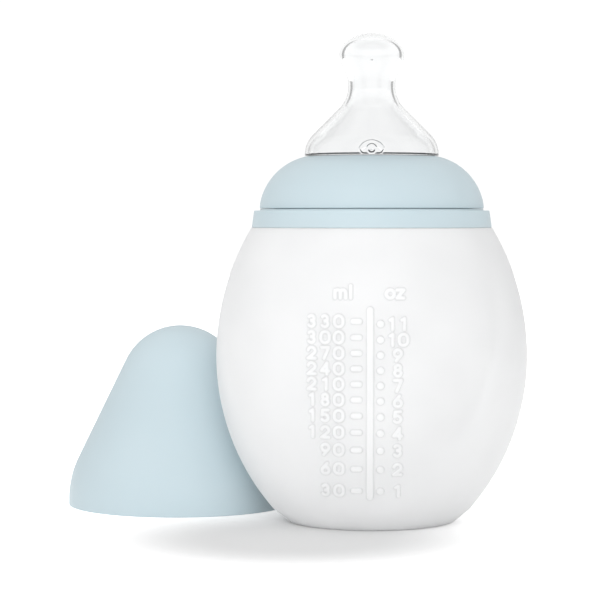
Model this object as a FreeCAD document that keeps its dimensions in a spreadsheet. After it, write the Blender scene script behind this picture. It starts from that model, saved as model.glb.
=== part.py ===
import FreeCAD, Part
import math
import os
import re
import Sketcher

# A wide, egg-shaped silicone feeding bottle with its screw collar, teat and loose cap.
#
# Frame: the origin is the centre of the bottle's flat base, on the surface it stands on.
# +Z is up along the bottle's axis, and the graduation faces -Y. Lengths are in millimetres
# and angles in degrees. The cap stands on the same surface, beside and behind the bottle.

SIZES = [
    # The soft bottle: an egg of two round arcs that meet at the belly.
    ("belly_radius", 48.1, "largest outside radius of the bottle"),
    ("belly_height", 51.0, "height of the largest radius"),
    ("shoulder_step", 0.1, "how far the shoulder stands out past the neck ring's band"),
    ("shoulder_height", 90.75, "height where the neck ring begins"),
    ("crease_radius", 30.7, "outside radius where the foot begins"),
    ("crease_height", 4.0, "height where the foot begins"),
    ("foot_radius", 25.8, "radius of the flat base"),
    ("foot_round", 0.8, "rounding of the crease above the foot"),
    ("body_wall", 1.9, "wall of the egg"),
    ("floor_thickness", 4.4, "thickness of the base"),
    ("floor_round", 6.0, "rounding between the floor and the wall inside"),
    ("throat_radius", 25.4, "inside radius of the neck"),
    ("throat_rise", 2.2, "height that the inside rises from the shoulder to the throat"),
    ("neck_wall", 2.5, "wall of the soft neck"),
    ("lip_overhang", 1.0, "how far the sealing lip reaches over the neck ring"),
    ("lip_thickness", 1.2, "thickness of the sealing lip"),
    # The rigid neck ring: a band outside, a flat ledge and a threaded tube.
    ("band_height", 5.25, "height of the visible band"),
    ("band_flare", 0.75, "how much wider the band is at its lower edge than at the ledge"),
    ("band_wall", 2.1, "wall of the band"),
    ("band_round", 0.35, "rounding of the band's edges"),
    ("ledge_width", 1.75, "width of the ledge outside the collar"),
    ("ledge_thickness", 2.0, "thickness of the ledge"),
    ("seat_height", 0.45, "height of the collar's seat above the ledge"),
    ("seat_inset", 0.1, "how far the collar reaches over its seat"),
    ("tube_wall", 1.7, "wall of the threaded tube"),
    ("tube_height", 7.8, "height of the threaded tube above the ledge"),
    ("neck_gap", 0.05, "gap between the neck ring and the soft neck inside it"),
    # The screw thread, the same on both pieces.
    ("thread_lead", 3.2, "rise in one turn"),
    ("thread_turns", 1.25, "turns of thread on each piece"),
    ("thread_height", 1.1, "height of the thread ridge"),
    ("thread_root", 1.3, "width of the ridge where it stands on its wall"),
    ("thread_crest", 0.7, "width of the ridge at its top"),
    ("thread_start", 2.9, "height of the ring's thread above the ledge, where it begins"),
    ("thread_space", 0.5, "gap between a ridge and the wall it runs along"),
    ("flank_gap", 0.3, "gap between the two flanks that pull the collar down"),
    # The collar: a dome with an aperture for the teat.
    ("seam_gap", 0.15, "gap between the collar and its seat when it is screwed down"),
    ("collar_foot_wall", 3.35, "wall of the collar at its foot, outside the bore"),
    ("dome_rise", 6.2, "height of the collar's top above the teat's flange"),
    ("collar_land", 0.3, "upright edge under the dome"),
    ("side_round", 9.3, "radius of the dome's side"),
    ("side_angle", 13.5, "angle that the dome's side turns through"),
    ("crown_land", 1.04, "width of the flat top between the dome and the aperture"),
    ("collar_wall", 1.8, "wall of the dome"),
    ("edge_thickness", 1.6, "thickness of the dome's edge at the aperture"),
    ("rib_width", 3.0, "width of the rib that presses the teat's flange"),
    ("bore_slope", 1.2, "height of the slope between the bore and the flange's seat"),
    ("bore_drop", 0.2, "how far the slope begins below the top of the threaded tube"),
    # The teat: flange, groove, cone, neck and a bulb that is wider than it is deep.
    ("flange_thickness", 1.4, "thickness of the teat's flange"),
    ("flange_gap", 0.4, "gap outside the flange and the soft lip, inside the collar"),
    ("teat_wall", 1.2, "wall of the teat"),
    ("teat_base_radius", 20.7, "outside radius of the teat above the collar"),
    ("groove_depth", 1.3, "depth of the groove that holds the collar's edge"),
    ("groove_gap", 0.25, "gap between the collar's edge and the groove"),
    ("shoulder_thickness", 0.8, "thickness of the shoulder under the collar's edge"),
    ("base_rise", 0.75, "upright edge of the teat above the collar"),
    ("base_round", 8.5, "radius between the upright edge and the cone"),
    ("cone_angle", 45.0, "slope of the cone from upright"),
    ("nape_round", 9.6, "radius between the cone and the neck of the teat"),
    ("nape_radius", 7.25, "smallest outside radius of the teat, at its neck"),
    ("bulb_radius", 10.0, "half width of the bulb"),
    ("bulb_depth", 7.4, "half depth of the bulb"),
    ("bulb_rise", 9.7, "height from the teat's neck to the widest place of the bulb"),
    ("bulb_crown", 6.9, "height of the bulb above its widest place"),
    ("hole_radius", 0.35, "radius of the feeding hole in the bulb's front"),
    ("hole_drop", 2.1, "how far the feeding hole lies below the bulb's widest place"),
    ("valve_radius", 1.5, "radius of each air valve"),
    ("valve_height", 0.5, "how far each air valve stands out of the teat's edge"),
    ("valve_rise", 1.85, "height of the valves above the collar"),
    # The cap: a tall rounded cone that goes over the collar and rests on the ledge.
    ("cap_gap", 0.6, "gap between the cap and the collar when it is on"),
    ("cap_wall", 1.3, "wall of the cap"),
    ("cap_headroom", 2.35, "gap between the teat and the top of the cap when it is on"),
    ("cap_land", 2.0, "upright edge at the mouth of the cap"),
    ("cap_side_round", 30.4, "radius between the cap's edge and its straight side"),
    ("cap_side_angle", 26.0, "slope of the cap's straight side from upright"),
    ("cap_edge_round", 0.4, "rounding of the cap's mouth"),
    ("cap_apart", 1.1, "gap between the bottle and the cap that stands beside it"),
    ("cap_bearing", 31.42, "direction of the cap from the bottle, from the left towards the back"),
    # The raised graduation on the front of the bottle.
    ("relief_height", 0.4, "how far the graduation stands out of the wall"),
    ("relief_root", 0.6, "how deep the graduation is rooted in the wall"),
    ("bar_width", 2.1, "width of the upright bar"),
    ("bar_below", 3.0, "how far the bar reaches below the first mark"),
    ("bar_above", 4.3, "how far the bar reaches above the last mark"),
    ("bar_offset", -0.4, "sideways place of the bar"),
    ("tick_length", 3.6, "length of a millilitre mark"),
    ("tick_width", 1.8, "width of a millilitre mark"),
    ("tick_offset", -4.35, "sideways place of the millilitre marks"),
    ("dot_radius", 1.15, "radius of an ounce mark"),
    ("dot_offset", 2.6, "sideways place of the ounce marks"),
    ("tick_step", 30.0, "millilitres from one mark to the next"),
    ("tick_count", 11, "number of millilitre marks"),
    ("ounce", 29.57, "millilitres in an ounce"),
    ("ounce_count", 11, "number of ounce marks"),
]

# Places that follow from the sizes. Each name may stand in any expression below.
PLACES = {
    "ledge": "shoulder_height + band_height",
    "shoulder_radius": "band_bottom_radius + shoulder_step",
    "upper_arc": "((belly_radius - shoulder_radius)^2 + (shoulder_height - belly_height)^2)"
                 " / (2 * (belly_radius - shoulder_radius))",
    "lower_arc": "((belly_radius - crease_radius)^2 + (belly_height - crease_height)^2)"
                 " / (2 * (belly_radius - crease_radius))",
    "upper_inner_arc": "upper_arc - body_wall",
    "lower_inner_arc": "lower_arc - body_wall",
    "inside_top": "shoulder_height - body_wall",
    "neck_radius": "throat_radius + neck_wall",
    "tube_bore": "neck_radius + neck_gap",
    "tube_radius": "tube_bore + tube_wall",
    "tube_top": "ledge + tube_height",
    "lip_radius": "neck_radius + lip_overhang",
    "lip_top": "tube_top + lip_thickness",
    "band_top_radius": "collar_radius + ledge_width",
    "band_bottom_radius": "band_top_radius + band_flare",
    "step_radius": "band_bottom_radius - band_wall",
    "seat": "ledge + seat_height",
    "seat_radius": "collar_radius - seat_inset",
    "collar_bottom": "seat + seam_gap",
    "collar_top": "flange_top + dome_rise",
    "collar_bore": "tube_radius + thread_height + thread_space",
    "bore_top": "tube_top - bore_drop",
    "collar_radius": "collar_bore + collar_foot_wall",
    "ring_thread": "ledge + thread_start",
    "thread_width": "(thread_root + thread_crest) / 2",
    "collar_thread": "ring_thread - thread_width - flank_gap",
    "flange_top": "lip_top + flange_thickness",
    "dome_start": "collar_bottom + collar_land",
    "side_end_radius": "collar_radius - side_round * (1 - cos(side_angle))",
    "side_end_height": "dome_start + side_round * sin(side_angle)",
    "crown_radius": "aperture_radius + crown_land",
    "crown_reach": "side_end_radius - crown_radius",
    "crown_rise": "collar_top - side_end_height",
    "crown_round": "(crown_reach^2 + crown_rise^2)"
                   " / (2 * (crown_reach * cos(side_angle) - crown_rise * sin(side_angle)))",
    "crown_centre_radius": "side_end_radius - crown_round * cos(side_angle)",
    "crown_centre_height": "side_end_height - crown_round * sin(side_angle)",
    "inner_crown_round": "crown_round - collar_wall",
    "groove_radius": "teat_base_radius - groove_depth",
    "aperture_radius": "groove_radius + groove_gap",
    "recess_radius": "teat_base_radius + 2 * groove_gap",
    "recess_height": "collar_top - edge_thickness",
    "recess_foot": "crown_centre_height"
                   " + sqrt(inner_crown_round^2 - (recess_radius - crown_centre_radius)^2)",
    "flange_radius": "lip_radius",
    "clamp_radius": "flange_radius + flange_gap",
    "rib_inner": "clamp_radius - rib_width",
    "rib_root": "crown_centre_height"
                " + sqrt(inner_crown_round^2 - (rib_inner - crown_centre_radius)^2)",
    "shoulder_top": "recess_height - groove_gap",
    "shoulder_bottom": "shoulder_top - shoulder_thickness",
    "teat_bore": "groove_radius - teat_wall",
    "base_bore": "teat_base_radius - teat_wall",
    "cone_start_radius": "teat_base_radius - base_round * (1 - cos(cone_angle))",
    "cone_start_height": "collar_top + base_rise + base_round * sin(cone_angle)",
    "cone_end_radius": "nape_radius + nape_round * (1 - cos(cone_angle))",
    "cone_end_height": "cone_start_height + (cone_start_radius - cone_end_radius) / tan(cone_angle)",
    "nape_height": "cone_end_height + nape_round * sin(cone_angle)",
    "bulb_height": "nape_height + bulb_rise",
    "teat_top": "bulb_height + bulb_crown",
    "cap_radius": "collar_radius + cap_gap + cap_wall",
    "cap_height": "teat_top - ledge + cap_headroom + cap_wall",
    "cap_side_radius": "cap_radius - cap_side_round * (1 - cos(cap_side_angle))",
    "cap_side_height": "cap_land + cap_side_round * sin(cap_side_angle)",
    "cap_side_reach": "cos(cap_side_angle) * cap_side_radius + sin(cap_side_angle) * cap_side_height",
    "cap_crown": "(cap_side_reach - cap_height * sin(cap_side_angle)) / (1 - sin(cap_side_angle))",
    "cap_centre": "cap_height - cap_crown",
    "cap_distance": "belly_radius - lower_arc + (lower_arc + cap_apart + cap_side_reach"
                    " - belly_height * sin(cap_side_angle)) / cos(cap_side_angle)",
}

LEFT, RIGHT = 1, -1  # the side of the path on which an arc's centre lies
BULB_SECTIONS = 4    # stretches between the sections of the bulb, below and above its widest place
TOP_ANGLE = 80.0     # where the round of the bulb's top stops, in degrees above its widest place
NECK_HOLD = 1.2      # power of the height's share, which keeps the bulb narrow above its neck

doc = FreeCAD.newDocument("BabyBottle")
sheet = doc.addObject("Spreadsheet::Sheet", "Sizes")
for row, (alias, number, note) in enumerate(SIZES, 1):
    sheet.set(f"A{row}", note)
    sheet.set(f"B{row}", str(number))
    sheet.setAlias(f"B{row}", alias)
doc.recompute()
ALIASES = {alias for alias, number, note in SIZES}


def expression(text):
    """Write a place or a formula out in terms of the sheet's own cells."""
    def spell(word):
        name = word.group(0)
        if name in ALIASES:
            return "Sizes." + name
        if name in PLACES:
            return "(" + expression(PLACES[name]) + ")"
        return name
    return re.sub(r"[a-z_]+", spell, text)


def size(text):
    """The value of a place or a formula, as the sheet gives it now."""
    return float(sheet.evalExpression(expression(text)))


def new_body(label):
    body = doc.addObject("PartDesign::Body", label)
    body.Label = label
    return body


def new_sketch(body, name, role="XZ_Plane"):
    """An empty sketch on one of the body's own origin planes."""
    sketch = body.newObject("Sketcher::SketchObject", name)
    plane = next(item for item in body.Origin.OriginFeatures if item.Role == role)
    sketch.AttachmentSupport = (plane, [""])
    sketch.MapMode = "FlatFace"
    return sketch


def pin_point(sketch, edge, end, across, up, name):
    """Hold a sketch point at its two bound distances, or on an axis where one is nothing."""
    for axis, kind, text, tag in ((-2, "DistanceX", across, "x"), (-1, "DistanceY", up, "y")):
        distance = size(text)
        if abs(distance) < 1e-9:
            sketch.addConstraint(Sketcher.Constraint("PointOnObject", edge, end, axis))
            continue
        index = sketch.addConstraint(Sketcher.Constraint(kind, -1, 1, edge, end, distance))
        sketch.renameConstraint(index, f"{name}_{tag}")
        sketch.setExpression(f"Constraints.{name}_{tag}", expression(text))


def outline(sketch, corners):
    """Draw a closed outline of straight and round stretches.

    A corner is (radius, height), or (radius, height, arc radius, side) where the stretch that
    ends at that corner is an arc with its centre on that side of the path.
    """
    points = [FreeCAD.Vector(size(corner[0]), size(corner[1]), 0) for corner in corners]
    ends = []
    for number, corner in enumerate(corners):
        first, last = points[number - 1], points[number]
        if len(corner) == 2:
            edge = sketch.addGeometry(Part.LineSegment(first, last), False)
            ends.append((edge, 1, 2))
            continue
        radius, side = size(corner[2]), corner[3]
        chord = last - first
        normal = FreeCAD.Vector(-chord.y, chord.x, 0).normalize() * side
        centre = (first + last) * 0.5 + normal * math.sqrt(radius**2 - (chord.Length / 2)**2)
        start, stop = (first, last) if side == LEFT else (last, first)
        angles = [math.atan2(point.y - centre.y, point.x - centre.x) for point in (start, stop)]
        if angles[1] < angles[0]:
            angles[1] += 2 * math.pi
        circle = Part.Circle(centre, FreeCAD.Vector(0, 0, 1), radius)
        edge = sketch.addGeometry(Part.ArcOfCircle(circle, *angles), False)
        ends.append((edge, 1, 2) if side == LEFT else (edge, 2, 1))
        index = sketch.addConstraint(Sketcher.Constraint("Radius", edge, radius))
        sketch.renameConstraint(index, f"arc{number}")
        sketch.setExpression(f"Constraints.arc{number}", expression(corner[2]))
    for number, corner in enumerate(corners):
        edge, start, stop = ends[number]
        following = ends[(number + 1) % len(corners)]
        sketch.addConstraint(
            Sketcher.Constraint("Coincident", edge, stop, following[0], following[1]))
        pin_point(sketch, edge, stop, corner[0], corner[1], f"corner{number}")
    return sketch


def revolved(body, name, corners, kind="PartDesign::Revolution"):
    """Turn an outline once round the upright axis."""
    sketch = outline(new_sketch(body, name + "_outline"), corners)
    feature = body.newObject(kind, name)
    feature.Profile = sketch
    feature.ReferenceAxis = (sketch, ["V_Axis"])
    feature.Angle = 360
    doc.recompute()
    return feature


def screw_thread(body, name, wall_radius, crest_radius, height):
    """A ridge along a right-handed helix, standing on a wall and starting at this height."""
    sketch = outline(new_sketch(body, name + "_section"), [
        (wall_radius, f"{height} - thread_root / 2"),
        (crest_radius, f"{height} - thread_crest / 2"),
        (crest_radius, f"{height} + thread_crest / 2"),
        (wall_radius, f"{height} + thread_root / 2"),
    ])
    helix = body.newObject("PartDesign::AdditiveHelix", name)
    helix.Profile = sketch
    helix.ReferenceAxis = (sketch, ["V_Axis"])
    helix.Mode = "pitch-turns-angle"
    helix.setExpression("Pitch", expression("thread_lead"))
    helix.setExpression("Turns", expression("thread_turns"))
    doc.recompute()
    return helix


def rounded(body, name, radius, circles):
    """Round the circular edges that lie at these (radius, height) places on the body."""
    base = body.Tip
    wanted = [(size(across), size(up)) for across, up in circles]
    edges = []
    for number, edge in enumerate(base.Shape.Edges, 1):
        if edge.Degenerated or not isinstance(edge.Curve, Part.Circle):
            continue
        place = (edge.Curve.Radius, edge.Curve.Center.z)
        if any(math.dist(place, spot) < 0.01 for spot in wanted):
            edges.append(f"Edge{number}")
    if len(edges) < len(wanted):
        raise RuntimeError(f"{name}: found {len(edges)} of {len(wanted)} edges")
    fillet = body.newObject("PartDesign::Fillet", name)
    fillet.Base = (base, edges)
    fillet.setExpression("Radius", expression(radius))
    doc.recompute()
    return fillet


# ---------------------------------------------------------------- bottle_body
# The soft bottle is moulded in one piece: egg, foot, neck and the lip that the teat seals on.

shell = new_body("soft_shell")
revolved(shell, "egg", [
    ("0", "0"),
    ("foot_radius", "0"),
    ("crease_radius", "crease_height"),
    ("belly_radius", "belly_height", "lower_arc", LEFT),
    ("shoulder_radius", "shoulder_height", "upper_arc", LEFT),
    ("step_radius", "shoulder_height"),
    ("step_radius", "ledge - ledge_thickness"),
    ("neck_radius", "ledge - ledge_thickness"),
    ("neck_radius", "tube_top"),
    ("lip_radius", "tube_top"),
    ("lip_radius", "lip_top"),
    ("0", "lip_top"),
])
revolved(shell, "inside", [
    ("0", "floor_thickness"),
    ("belly_radius - lower_arc + sqrt(lower_inner_arc^2 - (belly_height - floor_thickness)^2)",
     "floor_thickness"),
    ("belly_radius - body_wall", "belly_height", "lower_inner_arc", LEFT),
    ("belly_radius - upper_arc + sqrt(upper_inner_arc^2 - (inside_top - belly_height)^2)",
     "inside_top", "upper_inner_arc", LEFT),
    ("throat_radius", "inside_top + throat_rise"),
    ("throat_radius", "lip_top"),
    ("0", "lip_top"),
], "PartDesign::Groove")
rounded(shell, "floor_rounding", "floor_round", [
    ("belly_radius - lower_arc + sqrt(lower_inner_arc^2 - (belly_height - floor_thickness)^2)",
     "floor_thickness")])
rounded(shell, "foot_rounding", "foot_round", [("crease_radius", "crease_height")])


def inside_radius(height):
    """The egg's inside radius at a height, from the round arc that the wall follows there."""
    arc = "lower_arc" if height < size("belly_height") else "upper_arc"
    reach = math.sqrt((size(arc) - size("body_wall"))**2 - (height - size("belly_height"))**2)
    return size("belly_radius") - size(arc) + reach


def fill_heights(volumes, step=0.1):
    """The height that each volume in millilitres fills the egg to, adding up thin slices."""
    heights = []
    height, filled = size("floor_thickness"), 0.0
    for volume in volumes:
        while filled < volume * 1000:
            slice_volume = math.pi * inside_radius(height + step / 2)**2 * step
            filled += slice_volume
            height += step
        heights.append(height - step * (filled - volume * 1000) / slice_volume)
    return heights


def slot_face(first, last, width):
    """A face on the XZ plane: everything within half the width of a straight run."""
    along = (last - first).normalize()
    side = FreeCAD.Vector(along.z, 0, -along.x) * (width / 2)
    corners = [first + side, last + side, last - side, first - side]
    edges = [
        Part.makeLine(corners[0], corners[1]),
        Part.Arc(corners[1], last + along * (width / 2), corners[2]).toShape(),
        Part.makeLine(corners[2], corners[3]),
        Part.Arc(corners[3], first - along * (width / 2), corners[0]).toShape(),
    ]
    return Part.Face(Part.Wire(edges))


def graduation_faces():
    """The bar, the millilitre marks and the ounce marks, drawn flat on the XZ plane."""
    steps = range(1, int(size("tick_count")) + 1)
    ticks = fill_heights([number * size("tick_step") for number in steps])
    steps = range(1, int(size("ounce_count")) + 1)
    dots = fill_heights([number * size("ounce") for number in steps])
    half = (size("tick_length") - size("tick_width")) / 2
    end = size("bar_width") / 2
    faces = [slot_face(
        FreeCAD.Vector(size("bar_offset"), 0, ticks[0] - size("bar_below") + end),
        FreeCAD.Vector(size("bar_offset"), 0, ticks[-1] + size("bar_above") - end),
        size("bar_width"))]
    for height in ticks:
        faces.append(slot_face(
            FreeCAD.Vector(size("tick_offset") - half, 0, height),
            FreeCAD.Vector(size("tick_offset") + half, 0, height),
            size("tick_width")))
    for height in dots:
        centre = FreeCAD.Vector(size("dot_offset"), 0, height)
        ring = Part.makeCircle(size("dot_radius"), centre, FreeCAD.Vector(0, 1, 0))
        faces.append(Part.Face(Part.Wire([ring])))
    return faces


def egg_solid(offset):
    """The egg between crease and shoulder, with its surface moved out by an offset."""
    belly = FreeCAD.Vector(size("belly_radius") + offset, 0, size("belly_height"))
    edges = []
    for arc, sign in (("lower_arc", -1), ("upper_arc", 1)):
        radius = size(arc) + offset
        centre = FreeCAD.Vector(size("belly_radius") - size(arc), 0, size("belly_height"))
        half = size("belly_height") - size("crease_height") if sign < 0 else \
            size("shoulder_height") - size("belly_height")
        points = [centre + FreeCAD.Vector(math.sqrt(radius**2 - rise**2), 0, sign * rise)
                  for rise in (half, half / 2)]
        edges.append(Part.Arc(belly, points[1], points[0]).toShape())
        edges.append(Part.makeLine(points[0], FreeCAD.Vector(0, 0, points[0].z)))
    bottom, top = (edge.Vertexes[-1].Point for edge in (edges[1], edges[3]))
    edges.append(Part.makeLine(bottom, top))
    face = Part.Face(Part.Wire(Part.__sortEdges__(edges)))
    return face.revolve(FreeCAD.Vector(0, 0, 0), FreeCAD.Vector(0, 0, 1), 360)


# The marks stand proud of a doubly curved wall, so they are cut from a thin skin round it.
skin = egg_solid(size("relief_height")).cut(egg_solid(-size("relief_root")))
reach = FreeCAD.Vector(0, -2 * size("belly_radius"), 0)
marks = doc.addObject("Part::Feature", "graduation_marks")
marks.Shape = Part.makeCompound([
    solid for face in graduation_faces() for solid in skin.common(face.extrude(reach)).Solids])

bottle = doc.addObject("Part::Fuse", "bottle_body")
bottle.Label = "bottle_body"
bottle.Base = shell
bottle.Tool = marks
doc.recompute()

# ------------------------------------------------------------------ neck_ring
# A rigid ring that the soft neck is pushed through: its lip holds the ring from above.

ring = new_body("neck_ring")
revolved(ring, "ring", [
    ("band_bottom_radius", "shoulder_height"),
    ("band_top_radius", "ledge"),
    ("seat_radius", "ledge"),
    ("seat_radius", "seat"),
    ("tube_radius", "seat"),
    ("tube_radius", "tube_top"),
    ("tube_bore", "tube_top"),
    ("tube_bore", "ledge - ledge_thickness"),
    ("step_radius + neck_gap", "ledge - ledge_thickness"),
    ("step_radius + neck_gap", "shoulder_height"),
])
rounded(ring, "band_rounding", "band_round", [
    ("band_bottom_radius", "shoulder_height"), ("band_top_radius", "ledge")])
screw_thread(ring, "ring_ridge", "tube_radius - thread_space", "tube_radius + thread_height",
             "ring_thread")

# --------------------------------------------------------------------- collar
# The dome's side and crown are two round arcs. A rib inside presses the flange of the teat.

collar = new_body("collar")
revolved(collar, "dome", [
    ("collar_radius", "collar_bottom"),
    ("collar_radius", "dome_start"),
    ("side_end_radius", "side_end_height", "side_round", LEFT),
    ("crown_radius", "collar_top", "crown_round", LEFT),
    ("aperture_radius", "collar_top"),
    ("aperture_radius", "recess_height"),
    ("recess_radius", "recess_height"),
    ("recess_radius", "recess_foot"),
    ("rib_inner", "rib_root", "inner_crown_round", RIGHT),
    ("rib_inner", "flange_top"),
    ("clamp_radius", "flange_top"),
    ("clamp_radius", "bore_top + bore_slope"),
    ("collar_bore", "bore_top"),
    ("collar_bore", "collar_bottom"),
])
screw_thread(collar, "collar_ridge", "collar_bore + thread_space",
             "collar_bore - thread_height", "collar_thread")

# ----------------------------------------------------------------------- teat
# Flange, groove and cone are round. The bulb above them is wider than it is deep.

cone = new_body("teat_cone")
revolved(cone, "cone", [
    ("flange_radius", "lip_top"),
    ("flange_radius", "flange_top"),
    ("rib_inner - flange_gap", "flange_top"),
    ("teat_base_radius", "shoulder_bottom"),
    ("teat_base_radius", "shoulder_top"),
    ("groove_radius", "shoulder_top"),
    ("groove_radius", "collar_top + groove_gap"),
    ("teat_base_radius", "collar_top + groove_gap"),
    ("teat_base_radius", "collar_top + base_rise"),
    ("cone_start_radius", "cone_start_height", "base_round", LEFT),
    ("cone_end_radius", "cone_end_height"),
    ("nape_radius", "nape_height", "nape_round", RIGHT),
    ("nape_radius - teat_wall", "nape_height"),
    ("cone_end_radius - teat_wall * cos(cone_angle)",
     "cone_end_height - teat_wall * sin(cone_angle)", "nape_round + teat_wall", LEFT),
    ("cone_start_radius - teat_wall * cos(cone_angle)",
     "cone_start_height - teat_wall * sin(cone_angle)"),
    ("base_bore", "collar_top + base_rise", "base_round - teat_wall", RIGHT),
    ("teat_bore", "recess_height"),
    ("teat_bore", "shoulder_bottom"),
    ("throat_radius", "lip_top"),
])


def oval_wire(height, half_width, half_depth):
    """A level circle or ellipse round the axis, with its wide side along X."""
    centre = FreeCAD.Vector(0, 0, height)
    if half_width - half_depth < 1e-6:
        return Part.Wire([Part.makeCircle(half_width, centre)])
    wide = centre + FreeCAD.Vector(half_width, 0, 0)
    deep = centre + FreeCAD.Vector(0, half_depth, 0)
    return Part.Wire([Part.Ellipse(wide, deep, centre).toShape()])


def bulb_solid(inset):
    """The bulb with its surface moved in by an inset, lofted through level ovals.

    From the round neck to the widest place, width and depth follow half a cosine wave that
    stays narrow for longer than it stays wide. Above that place they follow a quarter of an
    ellipse, which stops at a small flat at the very top.
    """
    nape, low = size("nape_radius") - inset, size("nape_height")
    width, depth = size("bulb_radius") - inset, size("bulb_depth") - inset
    rise, crown = size("bulb_rise"), size("bulb_crown") - inset
    wires = []
    for part in range(BULB_SECTIONS + 1):
        share = (1 - math.cos(math.pi * (part / BULB_SECTIONS)**NECK_HOLD)) / 2
        wires.append(oval_wire(low + rise * part / BULB_SECTIONS,
                               nape + (width - nape) * share, nape + (depth - nape) * share))
    last = math.radians(TOP_ANGLE)
    for part in range(1, BULB_SECTIONS + 1):
        angle = last * part / BULB_SECTIONS
        wires.append(oval_wire(low + rise + crown * math.sin(angle) / math.sin(last),
                               width * math.cos(angle), depth * math.cos(angle)))
    return Part.makeLoft(wires, True, False)


bulb = doc.addObject("Part::Feature", "teat_bulb")
bulb.Shape = bulb_solid(0).cut(bulb_solid(size("teat_wall")))


def front_cylinder(name, radius, start, length, height, backwards=False):
    """A level cylinder on the bottle's front-to-back line, pointing to the front or the back."""
    cylinder = doc.addObject("Part::Cylinder", name)
    cylinder.setExpression("Radius", expression(radius))
    cylinder.setExpression("Height", expression(length))
    turn = -90 if backwards else 90
    cylinder.Placement.Rotation = FreeCAD.Rotation(FreeCAD.Vector(1, 0, 0), turn)
    sign = "" if backwards else "-"
    cylinder.setExpression("Placement.Base.y", f"{sign}({expression(start)})")
    cylinder.setExpression("Placement.Base.z", expression(height))
    return cylinder


valve = ("valve_radius", "teat_bore + teat_wall / 2",
         "teat_base_radius + valve_height - teat_bore - teat_wall / 2", "collar_top + valve_rise")
valves = [front_cylinder("front_valve", *valve),
          front_cylinder("back_valve", *valve, backwards=True)]
feeding_hole = front_cylinder(
    "feeding_hole", "hole_radius", "0", "2 * bulb_depth", "bulb_height - hole_drop")

closed_teat = doc.addObject("Part::MultiFuse", "closed_teat")
closed_teat.Shapes = [cone, bulb, *valves]
teat = doc.addObject("Part::Cut", "teat")
teat.Base = closed_teat
teat.Tool = feeding_hole
doc.recompute()

# ------------------------------------------------------------------------ cap
# The cap's side is straight between the round stretch above its mouth and its round top.
# Its height leaves room for the teat when it rests on the ledge of the neck ring.

cap = new_body("cap")
revolved(cap, "cover", [
    ("cap_radius", "0"),
    ("cap_radius", "cap_land"),
    ("cap_side_radius", "cap_side_height", "cap_side_round", LEFT),
    ("cap_crown * cos(cap_side_angle)", "cap_centre + cap_crown * sin(cap_side_angle)"),
    ("0", "cap_height", "cap_crown", LEFT),
    ("0", "cap_height - cap_wall"),
    ("(cap_crown - cap_wall) * cos(cap_side_angle)",
     "cap_centre + (cap_crown - cap_wall) * sin(cap_side_angle)", "cap_crown - cap_wall", RIGHT),
    ("cap_side_radius - cap_wall * cos(cap_side_angle)",
     "cap_side_height - cap_wall * sin(cap_side_angle)"),
    ("cap_radius - cap_wall", "cap_land", "cap_side_round - cap_wall", RIGHT),
    ("cap_radius - cap_wall", "0"),
])
rounded(cap, "mouth_rounding", "cap_edge_round", [("cap_radius", "0")])
cap.setExpression("Placement.Base.x", expression("-cap_distance * cos(cap_bearing)"))
cap.setExpression("Placement.Base.y", expression("cap_distance * sin(cap_bearing)"))
doc.recompute()

# ---------------------------------------------------------------------- files

NODES = {
    "bottle_body": bottle,
    "neck_ring": ring,
    "collar": collar,
    "teat": teat,
    "cap": cap,
}

for item in doc.Objects:
    if {"Invalid", "Error"} & set(item.State):
        raise RuntimeError(f"{item.Name} did not build: {item.State}")

os.makedirs("parts", exist_ok=True)
for node, item in NODES.items():
    shape = item.Shape
    if shape.isNull() or not shape.isValid() or len(shape.Solids) != 1:
        raise RuntimeError(f"{node} is not one valid solid")
    item.Label = node
    shape.exportStep(f"parts/{node}.step")
    print(f"{node}: {shape.Volume / 1000:.2f} ml of material")
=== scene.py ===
"""Looks of a wide silicone feeding bottle with its screw collar, teat and loose cap.

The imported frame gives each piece's place. Every visible piece is a surface worked out here from
the bottle's own sizes, and it rides on the body that its node belongs to. Lengths are metres.
"""

import logging
import math
from dataclasses import dataclass, field
from enum import Enum

import bpy
import numpy as np
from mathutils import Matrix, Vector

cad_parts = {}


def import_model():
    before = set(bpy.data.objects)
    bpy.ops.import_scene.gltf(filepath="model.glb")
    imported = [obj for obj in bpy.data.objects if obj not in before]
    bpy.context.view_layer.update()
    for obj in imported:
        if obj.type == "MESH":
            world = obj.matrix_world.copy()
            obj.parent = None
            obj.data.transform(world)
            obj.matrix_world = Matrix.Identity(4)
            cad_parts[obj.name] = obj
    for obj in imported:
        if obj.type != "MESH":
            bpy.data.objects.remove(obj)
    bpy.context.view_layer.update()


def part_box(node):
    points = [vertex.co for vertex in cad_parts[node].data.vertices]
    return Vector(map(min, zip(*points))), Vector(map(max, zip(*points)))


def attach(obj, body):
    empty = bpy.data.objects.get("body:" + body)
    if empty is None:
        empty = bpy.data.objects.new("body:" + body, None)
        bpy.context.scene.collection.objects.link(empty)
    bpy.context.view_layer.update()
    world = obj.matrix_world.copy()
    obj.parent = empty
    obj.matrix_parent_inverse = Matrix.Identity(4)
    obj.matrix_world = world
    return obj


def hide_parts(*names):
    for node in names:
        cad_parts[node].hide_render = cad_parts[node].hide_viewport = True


LOG = logging.getLogger("bottle")
MM = 0.001
MILLILITRE = 1e-6
OUNCE = 29.57 * MILLILITRE
MARKS = 11                  # marks in each row of the graduation
MILLILITRE_STEP = 30        # from one mark to the next
HAIR = 0.1 * MM             # places closer than this to a wall or a height lie on it
MASK_SPAN = (0.3, 0.7)      # the part of a noise's range that a blend uses
ZONE_EDGE = 12.0            # degrees over which the columns spread out beside a zone
SLICES = 2000               # level slices that a filled volume is added up from
SILICONE_IOR = 1.41
PLASTIC_IOR = 1.49


# ------------------------------------------------------------------ outlines and surfaces


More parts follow.
